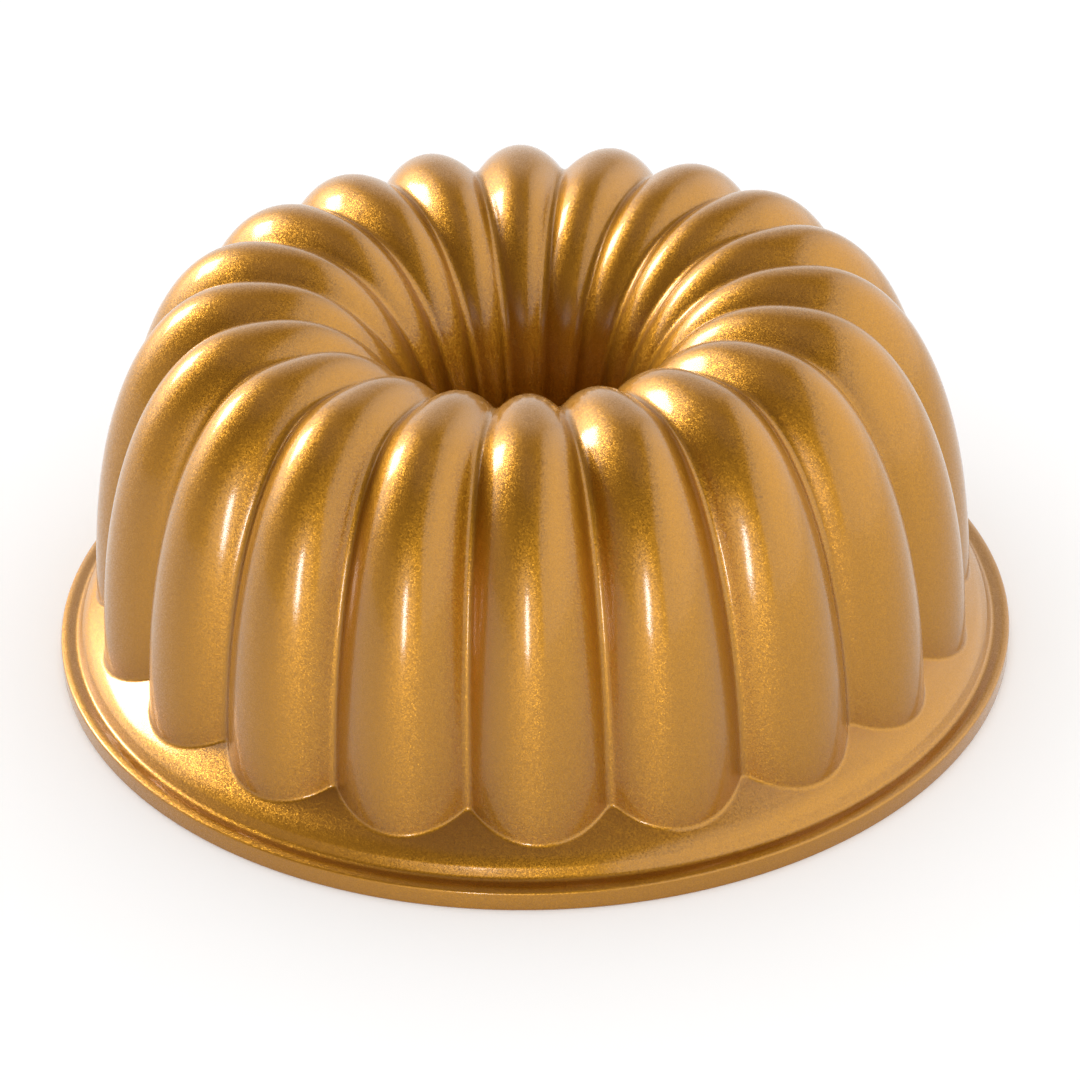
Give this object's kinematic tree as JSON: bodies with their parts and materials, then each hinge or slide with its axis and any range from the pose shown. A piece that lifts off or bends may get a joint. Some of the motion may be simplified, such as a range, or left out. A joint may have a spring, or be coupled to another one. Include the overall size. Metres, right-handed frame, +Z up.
{
  "type": "fluted tube pan",
  "caption": "Fluted ring cake pan with an open centre tube, cast in one piece and coated gold, resting crown up on its rim.",
  "frame": {"origin": "centre of the rim's resting plane, on the axis of the centre tube", "axes": "+Z up along the tube's axis towards the crown, as the pan stands in the picture; a flute's crest lies at +X, -X, +Y and -Y"},
  "size_m": [0.26, 0.26, 0.1056],
  "materials": {
    "gold_finish": "cast aluminium under a baked gold metallic coating with fine sparkle, satin to semi-gloss"
  },
  "bodies": {
    "root": {"pan_casting": "gold_finish"}
  },
  "joints": []
}
